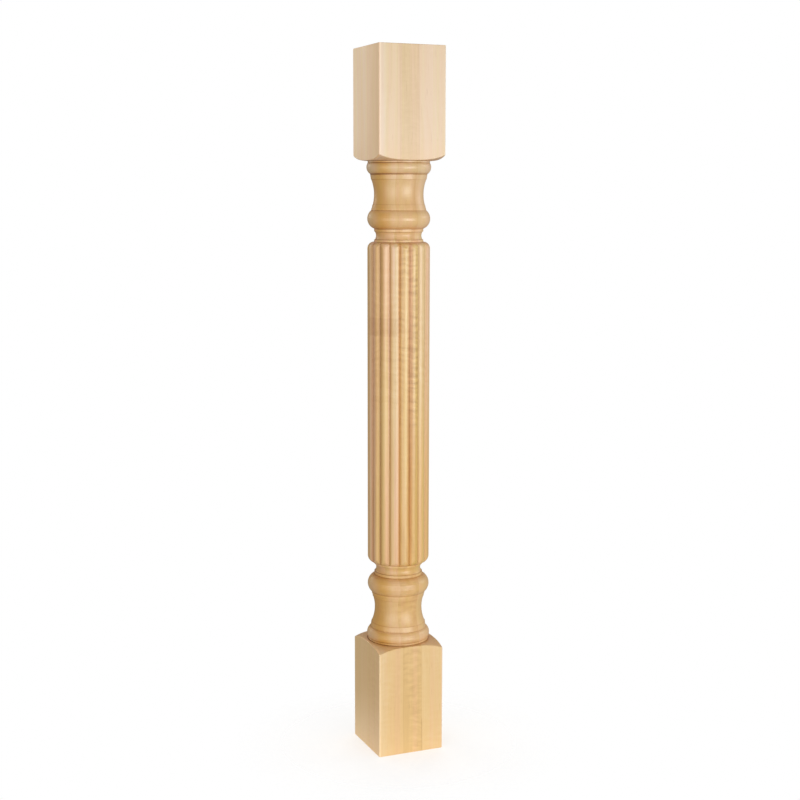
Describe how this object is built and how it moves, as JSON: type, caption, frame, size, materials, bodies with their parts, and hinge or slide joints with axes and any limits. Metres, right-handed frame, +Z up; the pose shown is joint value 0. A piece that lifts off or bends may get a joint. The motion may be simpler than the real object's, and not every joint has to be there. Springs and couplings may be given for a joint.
{
  "type": "reeded wooden post",
  "caption": "Square wooden post with a round reeded shaft, turned beads and coves, and a plain square block at each end.",
  "frame": {"origin": "middle of the underside of the lower block, where the post stands", "axes": "+Z up the post along its axis; +X and +Y square to the flat sides of the blocks; a groove between two reeds runs up the middle of the -Y side"},
  "size_m": [0.0888, 0.0888, 0.9017],
  "materials": {
    "post_wood": "sanded pale close-grained hardwood, glued up from boards, with a faint ripple figure"
  },
  "bodies": {
    "root": {"post": "post_wood"}
  },
  "joints": []
}
